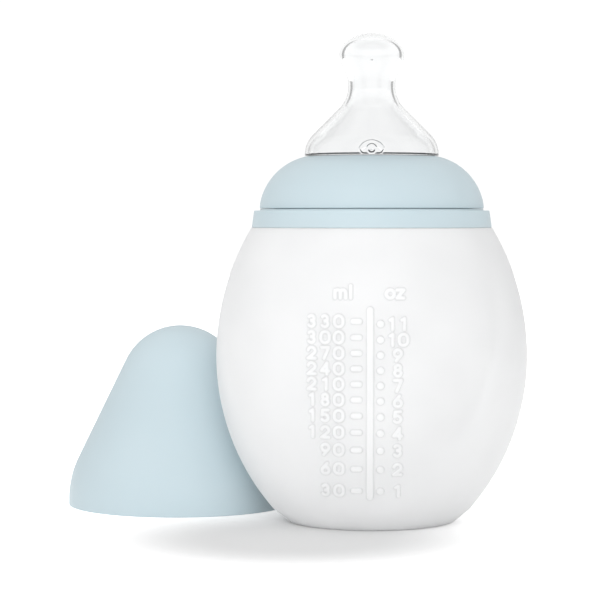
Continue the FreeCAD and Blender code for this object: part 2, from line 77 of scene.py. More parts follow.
def smooth_step(value: np.ndarray) -> np.ndarray:
    """A rise from 0 to 1 over 0 to 1 that starts and ends level: 3v^2 - 2v^3."""
    held = np.clip(value, 0.0, 1.0)
    return held * held * (3.0 - 2.0 * held)


def run(*corners: tuple[float, float]) -> np.ndarray:
    """Straight stretches of an outline through these (radius, height) corners."""
    return np.array(corners, dtype=float)


def arc(centre: tuple[float, float], radius: float, start: float, stop: float) -> np.ndarray:
    """A round stretch of an outline.

    Args:
        centre: Radius and height of the arc's centre.
        radius: Radius of the arc.
        start: Angle of its first point in degrees, from outwards towards up.
        stop: Angle of its last point.

    Returns:
        The points, one for about every degree.
    """
    count = max(8, int(abs(stop - start)))
    angle = np.radians(np.linspace(start, stop, count))
    return np.stack([centre[0] + radius * np.cos(angle), centre[1] + radius * np.sin(angle)], 1)


def travelled(points: np.ndarray) -> np.ndarray:
    """How far along a line each of its points lies."""
    steps = np.linalg.norm(np.diff(points, axis=0), axis=1)
    return np.concatenate([[0.0], np.cumsum(steps)])


def walk(points: np.ndarray, places: np.ndarray) -> np.ndarray:
    """The points of a line at these distances along it."""
    along = travelled(points)
    return np.stack([np.interp(places, along, points[:, axis]) for axis in range(2)], 1)


def softened(points: np.ndarray, rounding: float, step: float = 0.05 * MM) -> np.ndarray:
    """Round every corner of a closed outline by about the same amount.

    The outline is walked in small equal steps, and each place becomes the mean of its
    neighbours, weighted by a bell curve whose width is the rounding.

    Args:
        points: The closed outline; its last point joins its first.
        rounding: Width of the bell curve.
        step: Length of one small step.

    Returns:
        The rounded outline, closed in the same way.
    """
    loop = np.vstack([points, points[:1]])
    length = travelled(loop)[-1]
    count = int(length / step)
    dense = walk(loop, np.arange(count) * length / count)
    reach = np.minimum(np.arange(count), count - np.arange(count)) * length / count
    bell = np.exp(-0.5 * (reach / rounding) ** 2)
    wave = np.fft.rfft(bell / bell.sum())[:, None]
    return np.fft.irfft(np.fft.rfft(dense, axis=0) * wave, n=count, axis=0)


def mirrored(points: np.ndarray) -> np.ndarray:
    """Close an outline that starts and ends on the axis with its own mirror image."""
    return np.vstack([points, points[-2:0:-1] * [-1.0, 1.0]])


def softened_half(points: np.ndarray, rounding: float) -> np.ndarray:
    """Round the corners of an outline that starts and ends on the axis."""
    dense = softened(mirrored(points), rounding)
    half = dense[:len(dense) // 2 + 1].copy()
    half[[0, -1], 0] = 0.0
    return half


def spaced(points: np.ndarray, widest: float, turn: float, finest: np.ndarray | None = None,
           closed: bool = True) -> np.ndarray:
    """Choose the rows of a surface along an outline: close together where it bends.

    The spacing at a place is the radius of the bend there times the turn allowed in one row,
    but no more than the widest. One over the spacing, added up along the outline and cut into
    equal steps, gives the rows.

    Args:
        points: The dense outline.
        widest: Largest spacing.
        turn: Turn from row to row, in degrees.
        finest: An extra limit on the spacing at each dense point.
        closed: Whether the last point joins the first.

    Returns:
        The chosen points, without a repeated last one on a closed outline.
    """
    line = np.vstack([points, points[:1]]) if closed else points
    along = travelled(line)
    heading = np.unwrap(np.arctan2(*np.gradient(line, axis=0).T[::-1]))
    bend = np.abs(np.gradient(heading, along)) + 1e-6
    wanted = np.minimum(widest, math.radians(turn) / bend)
    if finest is not None:
        wanted = np.minimum(wanted, np.append(finest, finest[:1]) if closed else finest)
    total = np.concatenate([[0.0], np.cumsum(np.diff(along) * 2 / (wanted[1:] + wanted[:-1]))])
    count = int(math.ceil(total[-1]))
    places = np.interp(np.linspace(0.0, total[-1], count + 1), total, along)
    return walk(line, places[:-1] if closed else places)


@dataclass(frozen=True)
class Zone:
    """A stretch of angles, in degrees from the front, that needs closer columns."""

    centre: float
    half_width: float
    spacing: float


def columns(widest: float, zones: tuple[Zone, ...] = ()) -> np.ndarray:
    """Angles round the axis in radians, close together inside the zones.

    Args:
        widest: Largest spacing, in degrees.
        zones: Where the columns are closer.

    Returns:
        Angles from the front round to the front again, without the last.
    """
    angle = np.linspace(-180.0, 180.0, 7201)
    wanted = np.full_like(angle, widest)
    for zone in zones:
        away = np.abs((angle - zone.centre + 180.0) % 360.0 - 180.0) - zone.half_width
        share = np.clip(away / ZONE_EDGE, 0, 1)
        wanted = np.minimum(wanted, zone.spacing + (widest - zone.spacing) * share)
    total = np.concatenate([[0.0], np.cumsum(np.diff(angle) * 2 / (wanted[1:] + wanted[:-1]))])
    count = int(math.ceil(total[-1]))
    return np.radians(np.interp(np.arange(count) * total[-1] / count, total, angle))


@dataclass
class Turned:
    """A surface carried round the axis: rows follow an outline, columns follow angles.

    The angle is measured from the front, -Y, towards +X. Each point starts at its outline's
    radius and height, and may be pushed along the surface's normal. A relief, from 0 on the
    wall to 1 on top of a raised mark, is kept with each point for the finish to use.
    """

    outline: np.ndarray
    angles: np.ndarray
    closed: bool
    depth_share: np.ndarray | None = None
    push: np.ndarray | None = None
    relief: np.ndarray | None = None

    def normals(self) -> np.ndarray:
        """The outline's outward normals: the right-hand side of the way it runs."""
        if self.closed:
            along = np.roll(self.outline, -1, axis=0) - np.roll(self.outline, 1, axis=0)
        else:
            along = np.gradient(self.outline, axis=0)
        side = np.stack([along[:, 1], -along[:, 0]], 1)
        return side / np.linalg.norm(side, axis=1, keepdims=True)

    def points(self) -> np.ndarray:
        """Every vertex, as an array of rows by columns by three."""
        radius, height = (self.outline[:, None, axis] for axis in range(2))
        if self.push is not None:
            normal = self.normals()
            radius = radius + self.push * normal[:, :1]
            height = height + self.push * normal[:, 1:]
        across = radius * np.sin(self.angles)
        deep = -radius * np.cos(self.angles)
        if self.depth_share is not None:
            deep = deep * self.depth_share[:, None]
        return np.stack(np.broadcast_arrays(across, deep, height), -1)

    def build(self, name: str) -> bpy.types.Object:
        """Make the mesh object. A row on the axis becomes one point."""
        grid = self.points()
        rows, cols = grid.shape[:2]
        index = np.arange(rows * cols).reshape(rows, cols)
        vertices = grid.reshape(-1, 3)
        if not self.closed:
            index = index - (cols - 1)
            index[0, :] = 0
            index[-1, :] = (rows - 2) * cols + 1
            poles = grid[[0, -1]].mean(axis=1)
            vertices = np.vstack([poles[:1], grid[1:-1].reshape(-1, 3), poles[1:]])
        upper = np.roll(index, -1, axis=0) if self.closed else index[1:]
        lower = index if self.closed else index[:-1]
        quads = np.stack([lower, np.roll(lower, -1, 1), np.roll(upper, -1, 1), upper], -1)
        piece = mesh_object(name, vertices, quads.reshape(-1, 4))
        if self.relief is not None:
            kept = np.zeros(len(vertices), np.float32)
            kept[1:-1] = self.relief[1:-1].ravel()
            layer = piece.data.attributes.new("relief", "FLOAT", "POINT")
            layer.data.foreach_set("value", kept)
        return piece


def mesh_object(name: str, vertices: np.ndarray, quads: np.ndarray) -> bpy.types.Object:
    """Put a surface into a smooth mesh and link it to the scene.

    Args:
        name: Name of the piece.
        vertices: Points, in metres.
        quads: Four indexes a face; a face with a repeated index becomes a triangle.

    Returns:
        The new object, at the origin.
    """
    keep = np.ones(quads.shape, bool)
    keep[:, 1:] = quads[:, 1:] != quads[:, :-1]
    keep[:, 3] &= quads[:, 3] != quads[:, 0]
    totals = keep.sum(axis=1)
    mesh = bpy.data.meshes.new(name)
    mesh.vertices.add(len(vertices))
    mesh.vertices.foreach_set("co", vertices.astype(np.float32).ravel())
    mesh.loops.add(int(totals.sum()))
    mesh.loops.foreach_set("vertex_index", quads[keep].astype(np.int32))
    mesh.polygons.add(len(quads))
    starts = np.concatenate([[0], np.cumsum(totals)[:-1]])
    mesh.polygons.foreach_set("loop_start", starts.astype(np.int32))
    mesh.polygons.foreach_set("loop_total", totals.astype(np.int32))
    mesh.update(calc_edges=True)
    mesh.shade_smooth()
    piece = bpy.data.objects.new(name, mesh)
    bpy.context.scene.collection.objects.link(piece)
    return piece


# ------------------------------------------------------------------------------ finishes


def new_material(name: str) -> tuple[bpy.types.Material, bpy.types.Node]:
    """An empty node material and its Principled shader."""
    material = bpy.data.materials.new(name)
    material.use_nodes = True
    return material, material.node_tree.nodes["Principled BSDF"]


def maths(tree: bpy.types.NodeTree, operation: str, *values: object) -> bpy.types.NodeSocket:
    """One Math node on sockets or numbers."""
    node = tree.nodes.new("ShaderNodeMath")
    node.operation = operation
    for slot, value in enumerate(values):
        if isinstance(value, float):
            node.inputs[slot].default_value = value
        else:
            tree.links.new(value, node.inputs[slot])
    return node.outputs[0]


def spread(tree: bpy.types.NodeTree, value: bpy.types.NodeSocket, span: tuple[float, float],
           result: tuple[float, float], kind: str = "SMOOTHSTEP") -> bpy.types.NodeSocket:
    """A change from one result to the other while the value crosses its span."""
    node = tree.nodes.new("ShaderNodeMapRange")
    node.interpolation_type = kind
    for label, number in zip(("From Min", "From Max", "To Min", "To Max"), (*span, *result)):
        node.inputs[label].default_value = number
    tree.links.new(value, node.inputs["Value"])
    return node.outputs["Result"]


def choose(tree: bpy.types.NodeTree, ray: str, other: bpy.types.NodeSocket,
           own: bpy.types.NodeSocket) -> bpy.types.NodeSocket:
    """One shader for this kind of ray, and another for the rest."""
    path, node = tree.nodes.new("ShaderNodeLightPath"), tree.nodes.new("ShaderNodeMixShader")
    for slot, socket in enumerate((path.outputs[ray], other, own)):
        tree.links.new(socket, node.inputs[slot])
    return node.outputs[0]


def new_group(name: str, inputs: dict[str, float], outputs: dict[str, str]) -> bpy.types.NodeTree:
    """An empty shader group with number inputs and named outputs."""
    group = bpy.data.node_groups.new(name, "ShaderNodeTree")
    for label, value in inputs.items():
        socket = group.interface.new_socket(label, in_out="INPUT", socket_type="NodeSocketFloat")
        socket.default_value = value
    for label, kind in outputs.items():
        group.interface.new_socket(label, in_out="OUTPUT", socket_type=kind)
    return group


def place_group(material: bpy.types.Material, group: bpy.types.NodeTree,
                values: dict[str, float]) -> bpy.types.Node:
    """Place a shader group in a material with its own values."""
    node = material.node_tree.nodes.new("ShaderNodeGroup")
    node.node_tree = group
    for label, value in values.items():
        node.inputs[label].default_value = value
    return node


def moulded_skin_group() -> bpy.types.NodeTree:
    """The skin that a mould leaves: fine grain over slow unevenness.

    Height is the grain plus the unevenness, each times its own weight. Cloud is a slow
    variation from 0 to 1 for colour and roughness.
    """
    group = new_group(
        "moulded_skin",
        {"Grain Size": 900.0, "Grain Weight": 0.5, "Wave Size": 30.0, "Wave Weight": 1.0},
        {"Height": "NodeSocketFloat", "Cloud": "NodeSocketFloat"})
    nodes, links = group.nodes, group.links
    given, result = nodes.new("NodeGroupInput"), nodes.new("NodeGroupOutput")
    place = nodes.new("ShaderNodeTexCoord")
    weighted = []
    for label, detail in (("Grain", 2.0), ("Wave", 1.0)):
        noise = nodes.new("ShaderNodeTexNoise")
        noise.inputs["Detail"].default_value = detail
        links.new(place.outputs["Object"], noise.inputs["Vector"])
        links.new(given.outputs[f"{label} Size"], noise.inputs["Scale"])
        weight = given.outputs[f"{label} Weight"]
        weighted.append(maths(group, "MULTIPLY", noise.outputs["Fac"], weight))
    links.new(maths(group, "ADD", *weighted), result.inputs["Height"])
    links.new(noise.outputs["Fac"], result.inputs["Cloud"])
    return group


def raised_marks_group() -> bpy.types.NodeTree:
    """Painted shade on the slopes round raised marks, and a brighter top on them.

    With h the relief from 0 to 1, the slope round a mark is 4 h (1 - h). The tint is one plus the
    mark's own gain times h, less the painted shade of the slope times that, darkening the slopes in
    the colour.
    """
    group = new_group("mark_tint_and_painted_shade", {"Shade": 0.2, "Gain": 0.0}, {"Tint": "NodeSocketFloat"})
    nodes, links = group.nodes, group.links
    given, result = nodes.new("NodeGroupInput"), nodes.new("NodeGroupOutput")
    relief = nodes.new("ShaderNodeAttribute")
    relief.attribute_name = "relief"
    raised = relief.outputs["Fac"]
    rest = maths(group, "SUBTRACT", 1.0, raised)
    # painted shade: darkest halfway up each mark's slope
    slope = maths(group, "MULTIPLY", maths(group, "MULTIPLY", raised, 4.0), rest)
    bright = maths(group, "MULTIPLY_ADD", raised, given.outputs["Gain"], 1.0)
    shaded = maths(group, "MULTIPLY", slope, given.outputs["Shade"])
    links.new(maths(group, "SUBTRACT", bright, shaded), result.inputs["Tint"])
    return group


def blend_colours(material: bpy.types.Material, mask: bpy.types.NodeSocket,
                  dark: tuple[float, ...], light: tuple[float, ...]) -> bpy.types.NodeSocket:
    """A colour between two, by a mask that runs from 0 to 1."""
    ramp = material.node_tree.nodes.new("ShaderNodeValToRGB")
    for element, place, colour in zip(ramp.color_ramp.elements, MASK_SPAN, (dark, light)):
        element.position = place
        element.color = (*colour, 1.0)
    material.node_tree.links.new(mask, ramp.inputs["Fac"])
    return ramp.outputs["Color"]


@dataclass(frozen=True)
class MouldedSkin:
    """How a finish's surface feels: the skin's grain and waves, its gloss and its bumps."""

    grain_size: float
    grain_weight: float
    wave_size: float
    wave_weight: float
    roughness: tuple[float, float]
    bump_strength: float
    bump_depth: float

    def start(self, name: str, skin: bpy.types.NodeTree) -> tuple[
            bpy.types.Material, bpy.types.Node, bpy.types.NodeSocket]:
        """Make a material with this skin.

        Args:
            name: Name of the material.
            skin: The shader group of the moulded skin.

        Returns:
            The material, its Principled shader and the skin's cloud, for the colour.
        """
        material, shader = new_material(name)
        tree = material.node_tree
        face = place_group(material, skin, {
            "Grain Size": self.grain_size, "Grain Weight": self.grain_weight,
            "Wave Size": self.wave_size, "Wave Weight": self.wave_weight})
        cloud = face.outputs["Cloud"]
        tree.links.new(spread(tree, cloud, MASK_SPAN, self.roughness, "LINEAR"),
                       shader.inputs["Roughness"])
        bump = tree.nodes.new("ShaderNodeBump")
        bump.inputs["Strength"].default_value = self.bump_strength
        bump.inputs["Distance"].default_value = self.bump_depth
        tree.links.new(face.outputs["Height"], bump.inputs["Height"])
        tree.links.new(bump.outputs["Normal"], shader.inputs["Normal"])
        return material, shader, cloud


@dataclass(frozen=True)
class FrostedSilicone:
    """Milky silicone that lets light through without showing what is behind it."""

    dark: tuple[float, float, float] = (0.82, 0.825, 0.83)
    light: tuple[float, float, float] = (0.86, 0.865, 0.87)
    surface: MouldedSkin = MouldedSkin(
        grain_size=1400.0, grain_weight=0.35, wave_size=45.0, wave_weight=1.0,
        roughness=(0.40, 0.48), bump_strength=0.12, bump_depth=0.2 * MM)
    # painted shade on the slopes round the raised marks, and a small gain on their tops
    mark_shade: float = 0.16
    mark_gain: float = 0.03
    scattered: float = 0.6
    depth: float = 3.0 * MM

    def make(self, skin: bpy.types.NodeTree) -> bpy.types.Material:
        """Build the material."""
        material, shader, cloud = self.surface.start("bottle_skin", skin)
        links = material.node_tree.links
        marks = place_group(material, raised_marks_group(),
                            {"Shade": self.mark_shade, "Gain": self.mark_gain})
        # the base colour times the marks' tint, with painted shade on their slopes
        colour_with_painted_shade = material.node_tree.nodes.new("ShaderNodeVectorMath")
        colour_with_painted_shade.operation = "SCALE"
        links.new(blend_colours(material, cloud, self.dark, self.light), colour_with_painted_shade.inputs[0])
        links.new(marks.outputs["Tint"], colour_with_painted_shade.inputs["Scale"])
        links.new(colour_with_painted_shade.outputs[0], shader.inputs["Base Color"])
        shader.inputs["IOR"].default_value = SILICONE_IOR
        shader.inputs["Subsurface Weight"].default_value = self.scattered
        shader.inputs["Subsurface Radius"].default_value = (1.0, 1.0, 1.0)
        shader.inputs["Subsurface Scale"].default_value = self.depth
        return material


@dataclass(frozen=True)
class SatinPlastic:
    """Pale blue moulded polypropylene with a fine matte texture."""

    dark: tuple[float, float, float] = (0.56, 0.67, 0.715)
    light: tuple[float, float, float] = (0.59, 0.70, 0.745)
    surface: MouldedSkin = MouldedSkin(
        grain_size=2200.0, grain_weight=0.6, wave_size=25.0, wave_weight=0.5,
        roughness=(0.42, 0.50), bump_strength=0.15, bump_depth=0.1 * MM)
    scattered: float = 0.15
    depth: float = 1.5 * MM

    def make(self, skin: bpy.types.NodeTree) -> bpy.types.Material:
        """Build the material."""
        material, shader, cloud = self.surface.start("cap_and_collar_plastic", skin)
        material.node_tree.links.new(blend_colours(material, cloud, self.dark, self.light),
                                     shader.inputs["Base Color"])
        shader.inputs["IOR"].default_value = PLASTIC_IOR
        shader.inputs["Subsurface Weight"].default_value = self.scattered
        shader.inputs["Subsurface Radius"].default_value = (0.8, 1.0, 1.0)
        shader.inputs["Subsurface Scale"].default_value = self.depth
        return material


@dataclass(frozen=True)
class ClearSilicone:
    """Clear, glossy silicone with a slightly uneven skin."""

    colour: tuple[float, float, float] = (0.985, 0.99, 0.992)
    surface: MouldedSkin = MouldedSkin(
        grain_size=700.0, grain_weight=0.05, wave_size=120.0, wave_weight=1.0,
        roughness=(0.03, 0.09), bump_strength=0.10, bump_depth=0.1 * MM)

    def make(self, skin: bpy.types.NodeTree) -> bpy.types.Material:
        """Build the material."""
        material, shader, _ = self.surface.start("teat_silicone", skin)
        shader.inputs["Base Color"].default_value = (*self.colour, 1.0)
        shader.inputs["IOR"].default_value = SILICONE_IOR
        shader.inputs["Transmission Weight"].default_value = 1.0
        return material


@dataclass
class Finishes:
    """The object's three finishes, by the names of the record's material slots."""

    made: dict[str, bpy.types.Material] = field(default_factory=dict)

    def build(self) -> None:
        """Make each finish once."""
        skin = moulded_skin_group()
        self.made = {"frosted_silicone": FrostedSilicone().make(skin),
                     "blue_plastic": SatinPlastic().make(skin),
                     "clear_silicone": ClearSilicone().make(skin)}

    def dress(self, piece: bpy.types.Object, slot: str, body: str, *nodes: str) -> None:
        """Give a piece its finish, its body and the nodes that it stands for.

        Args:
            piece: The finished mesh object.
            slot: Name of the material slot in the record.
            body: Name of the body that it rides on.
            nodes: Names of the nodes that it replaces.
        """
        piece.data.materials.clear()
        piece.data.materials.append(self.made[slot])
        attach(piece, body)
        if nodes:
            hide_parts(*nodes)
        LOG.info("%s: %d faces, rides on %s", piece.name, len(piece.data.polygons), body)


# --------------------------------------------------------------------- raised figures


class Glyph(Enum):
    """The figures and letters of the graduation.

    Each is a set of strokes in units of half a figure's height, with (0, 0) at its middle:
    a line is (x0, z0, x1, z1), and an arc is (centre x, centre z, radius, start, sweep) with
    angles in degrees.
    """

    ZERO = ((0, 0.23, 0.77, 0, 180), (0, -0.23, 0.77, 180, 180),
            (-0.77, 0.23, -0.77, -0.23), (0.77, 0.23, 0.77, -0.23))
    ONE = ((0.2, 1, 0.2, -1), (0.2, 1, -0.3, 0.7))
    TWO = ((0, 0.36, 0.64, -30, 200), (0.554, 0.04, -0.66, -1), (-0.66, -1, 0.66, -1))
    THREE = ((-0.06, 0.49, 0.51, -90, 240), (-0.06, -0.45, 0.55, -150, 240))
    FOUR = ((0.34, 1, 0.34, -1), (0.34, 1, -0.7, -0.45), (-0.7, -0.45, 0.7, -0.45))
    FIVE = ((-0.45, 1, 0.55, 1), (-0.45, 1, -0.55, 0.2), (-0.06, -0.38, 0.62, -150, 290))
    SIX = ((0, -0.36, 0.64, 0, 360), (-0.58, -0.1, 0.3, 1))
    SEVEN = ((-0.64, 1, 0.64, 1), (0.64, 1, -0.2, -1))
    EIGHT = ((0, 0.52, 0.48, 0, 360), (0, -0.44, 0.56, 0, 360))
    NINE = ((0, 0.36, 0.64, 0, 360), (0.58, 0.1, -0.3, -1))
    LETTER_M = ((-0.97, 0.35, -0.97, -1), (-0.485, -0.05, 0.485, 0, 180), (0, -0.05, 0, -1),
                (0.485, -0.05, 0.485, 0, 180), (0.97, -0.05, 0.97, -1))
    LETTER_L = ((0, 1.19, 0, -1),)
    LETTER_O = ((0, -0.28, 0.72, 0, 360),)
    LETTER_Z = ((-0.58, 0.44, 0.58, 0.44), (0.58, 0.44, -0.58, -1), (-0.58, -1, 0.58, -1))


FIGURES = (Glyph.ZERO, Glyph.ONE, Glyph.TWO, Glyph.THREE, Glyph.FOUR,
           Glyph.FIVE, Glyph.SIX, Glyph.SEVEN, Glyph.EIGHT, Glyph.NINE)
UNIT_LETTERS = ((Glyph.LETTER_M, -9.0 * MM), (Glyph.LETTER_L, -6.0 * MM),
                (Glyph.LETTER_O, 5.4 * MM), (Glyph.LETTER_Z, 8.35 * MM))


def line_distance(across: np.ndarray, up: np.ndarray, stroke: tuple[float, ...]) -> np.ndarray:
    """Distance from each place to a straight stroke: to its nearest point, ends included."""
    start, stop = np.array(stroke[:2]), np.array(stroke[2:])
    along = stop - start
    share = ((across - start[0]) * along[0] + (up - start[1]) * along[1]) / max(along @ along, 1e-9)
    share = np.clip(share, 0.0, 1.0)
    return np.hypot(across - start[0] - share * along[0], up - start[1] - share * along[1])


def arc_distance(across: np.ndarray, up: np.ndarray, stroke: tuple[float, ...]) -> np.ndarray:
    """Distance from each place to a round stroke.

    Inside the arc's angles it is the difference from the radius, and outside them it is the
    distance to the nearer end.
    """
    centre_x, centre_z, radius, start, sweep = stroke
    x, z = across - centre_x, up - centre_z
    turn = (np.degrees(np.arctan2(z, x)) - start) % 360.0
    ends = [np.radians(start), np.radians(start + sweep)]
    to_ends = [np.hypot(x - radius * np.cos(end), z - radius * np.sin(end)) for end in ends]
    return np.where(turn <= sweep, np.abs(np.hypot(x, z) - radius), np.minimum(*to_ends))


def stroke_distance(across: np.ndarray, up: np.ndarray, glyph: Glyph) -> np.ndarray:
    """Distance from each place to the nearest stroke of a glyph, in the glyph's own units."""
    distances = [(arc_distance if len(stroke) == 5 else line_distance)(across, up, stroke)
                 for stroke in glyph.value]
    return np.min(distances, axis=0)


@dataclass
class Graduation:
    """The raised scale on the bottle's front: a bar, two rows of marks, figures and units.

    It is one height above the wall for each sideways place and height of a point, as the
    mould's cavity gives it. Every edge slopes over the same short width.
    """

    millilitres: np.ndarray
    ounces: np.ndarray
    relief: float = 0.40 * MM
    edge: float = 0.40 * MM
    bar_across: float = -0.4 * MM
    bar_width: float = 2.1 * MM
    bar_below: float = 3.0 * MM
    bar_above: float = 4.3 * MM
    tick_across: float = -4.35 * MM
    tick_length: float = 3.6 * MM
    tick_width: float = 1.8 * MM
    dot_across: float = 2.6 * MM
    dot_radius: float = 1.15 * MM
    figure_height: float = 3.2 * MM
    figure_pitch: float = 3.92 * MM
    stroke: float = 1.15 * MM
    last_figure: float = -9.45 * MM
    ounce_figure: float = 7.6 * MM
    ounce_pitch: float = 3.4 * MM
    ounce_shift: float = 1.6 * MM
    unit_gap: float = 8.3 * MM
    unit_stroke: float = 1.25 * MM

    def plateau(self, distance: np.ndarray) -> np.ndarray:
        """Height for a distance inside (negative) or outside (positive) a raised shape."""
        return self.relief * smooth_step(0.5 - distance / self.edge)

    def figures(self, across: np.ndarray, up: np.ndarray, value: int, last: float,
                height: float, pitch: float) -> np.ndarray:
        """Height of one number, whose last figure stands at a sideways place."""
        result = np.zeros_like(across)
        half = self.figure_height / 2
        for place, letter in enumerate(reversed(str(value))):
            x = (across - last + place * pitch) / half
            distance = stroke_distance(x, (up - height) / half, FIGURES[int(letter)]) * half
            result = np.maximum(result, self.plateau(distance - self.stroke / 2))
        return result

    def units(self, across: np.ndarray, up: np.ndarray) -> np.ndarray:
        """Height of the two unit names above the scale."""
        result = np.zeros_like(across)
        height = self.millilitres[-1] + self.unit_gap
        half = self.figure_height / 2
        for glyph, place in UNIT_LETTERS:
            distance = stroke_distance((across - place) / half, (up - height) / half, glyph)
            result = np.maximum(result, self.plateau(distance * half - self.unit_stroke / 2))
        return result

    def height(self, across: np.ndarray, up: np.ndarray) -> np.ndarray:
        """Height above the wall at each place.

        Args:
            across: Sideways place of each point.
            up: Height of each point.

        Returns:
            How far each point stands out of the wall.
        """
        bar = (self.bar_across, self.millilitres[0] - self.bar_below + self.bar_width / 2,
               self.bar_across, self.millilitres[-1] + self.bar_above - self.bar_width / 2)
        result = self.plateau(line_distance(across, up, bar) - self.bar_width / 2)
        reach = (self.tick_length - self.tick_width) / 2
        for number, height in enumerate(self.millilitres, 1):
            tick = (self.tick_across - reach, height, self.tick_across + reach, height)
            result = np.maximum(
                result, self.plateau(line_distance(across, up, tick) - self.tick_width / 2))
            result = np.maximum(result, self.figures(
                across, up, MILLILITRE_STEP * number, self.last_figure, height, self.figure_pitch))
        for number, height in enumerate(self.ounces, 1):
            distance = np.hypot(across - self.dot_across, up - height) - self.dot_radius
            last = self.ounce_figure + (self.ounce_shift if number > 9 else 0.0)
            result = np.maximum(result, self.plateau(distance))
            result = np.maximum(
                result, self.figures(across, up, number, last, height, self.ounce_pitch))
        return np.maximum(result, self.units(across, up))


# --------------------------------------------------------------------------- the pieces


@dataclass
class SoftBottle:
    """The soft bottle: egg, foot, neck and sealing lip, with the graduation on its front."""

    belly_radius: float
    belly_height: float = 51.0 * MM
    shoulder_radius: float = 37.2 * MM
    shoulder_height: float = 90.75 * MM
    crease_radius: float = 30.7 * MM
    crease_height: float = 4.0 * MM
    foot_radius: float = 25.8 * MM
    wall: float = 1.9 * MM
    floor: float = 4.4 * MM
    throat_radius: float = 25.4 * MM
    throat_rise: float = 2.2 * MM
    neck_radius: float = 27.9 * MM
    step_radius: float = 35.0 * MM
    ring_seat: float = 94.0 * MM
    lip_radius: float = 28.9 * MM
    lip_base: float = 103.8 * MM
    lip_top: float = 105.0 * MM
    floor_round: float = 5.6 * MM
    floor_round_reach: float = 4.6 * MM
    floor_round_top: float = 3.4 * MM
    rounding: float = 0.22 * MM
    figure_spacing: float = 0.26 * MM
    row_spacing: float = 3.0 * MM
    row_turn: float = 9.0
    column_spacing: float = 3.6
    marked_centre: float = -5.2
    marked_half_width: float = 19.0
    marked_below: float = 4.0 * MM
    marked_above: float = 12.0 * MM

    def egg_radius(self, reach: float, rise: float) -> float:
        """Radius of the round stretch that leaves the belly upright and narrows by a reach."""
        return (reach**2 + rise**2) / (2.0 * reach)

    def egg(self, inset: float, low: float, high: float) -> np.ndarray:
        """The egg's outline between two heights, moved in by an inset: two arcs."""
        lower = self.egg_radius(self.belly_radius - self.crease_radius,
                                self.belly_height - self.crease_height)
        upper = self.egg_radius(self.belly_radius - self.shoulder_radius,
                                self.shoulder_height - self.belly_height)
        parts = []
        for radius, start, stop in ((lower, low, self.belly_height), (upper, self.belly_height, high)):
            span = [math.degrees(math.asin((edge - self.belly_height) / (radius - inset)))
                    for edge in (start, stop)]
            centre = (self.belly_radius - radius, self.belly_height)
            parts.append(arc(centre, radius - inset, *span))
        return np.vstack([parts[0], parts[1][1:]])

    def fill_heights(self, volumes: np.ndarray) -> np.ndarray:
        """Height that each volume fills the egg to.

        The inside is cut into thin level slices, their volumes are added up, and the wanted
        volumes are looked up in the running sum.
        """
        inside = self.egg(self.wall, self.floor, self.shoulder_height - self.wall)
        height = np.linspace(self.floor, inside[-1, 1], SLICES)
        area = np.pi * np.interp(height, inside[:, 1], inside[:, 0]) ** 2
        slices = np.diff(height) * (area[1:] + area[:-1]) / 2
        return np.interp(volumes, np.concatenate([[0.0], np.cumsum(slices)]), height)

    def outline(self) -> np.ndarray:
        """The dense outline from the middle of the base, up outside and down inside."""
        outside = self.egg(0.0, self.crease_height, self.shoulder_height)
        inside = self.egg(self.wall, self.floor + self.floor_round_top,
                          self.shoulder_height - self.wall)[::-1]
        centre = (inside[-1, 0] - self.floor_round_reach, self.floor + self.floor_round)
        return np.vstack([
            run((0, 0), (self.foot_radius, 0)),
            outside,
            run((self.step_radius, self.shoulder_height), (self.step_radius, self.ring_seat),
                (self.neck_radius, self.ring_seat), (self.neck_radius, self.lip_base),
                (self.lip_radius, self.lip_base), (self.lip_radius, self.lip_top),
                (self.throat_radius, self.lip_top),
                (self.throat_radius, self.shoulder_height - self.wall + self.throat_rise)),
            inside,
            arc(centre, self.floor_round, -35, -90),
            run((0, self.floor)),
        ])

    def marked(self, points: np.ndarray, low: float, high: float) -> np.ndarray:
        """Which points of the outline lie outside on the egg between two heights."""
        height = points[:, 1]
        outside = np.arange(len(points)) < np.argmax(height > self.shoulder_height - HAIR)
        return outside & (height > low) & (height < high)

    def build(self) -> bpy.types.Object:
        """Make the mesh, with the graduation pushed out of the wall."""
        half = softened_half(self.outline(), self.rounding)
        marks = np.arange(1, MARKS + 1)
        graduation = Graduation(self.fill_heights(marks * MILLILITRE_STEP * MILLILITRE),
                                self.fill_heights(marks * OUNCE))
        span = (graduation.millilitres[0] - self.marked_below,
                graduation.millilitres[-1] + self.marked_above)
        finest = np.where(self.marked(half, *span), self.figure_spacing, 1.0)
        rows = spaced(half, self.row_spacing, self.row_turn, finest, closed=False)
        closest = math.degrees(self.figure_spacing / self.belly_radius)
        angles = columns(self.column_spacing,
                         (Zone(self.marked_centre, self.marked_half_width, closest),))
        surface = Turned(rows, angles, closed=False)
        across = rows[:, :1] * np.sin(angles)
        up = np.broadcast_to(rows[:, 1:], across.shape)
        cells = np.ix_(self.marked(rows, *span), np.cos(angles) > 0.5)
        raised = np.zeros_like(across)
        raised[cells] = graduation.height(across[cells], up[cells])
        surface.push = raised
        surface.relief = raised / graduation.relief
        return surface.build("bottle_shell")


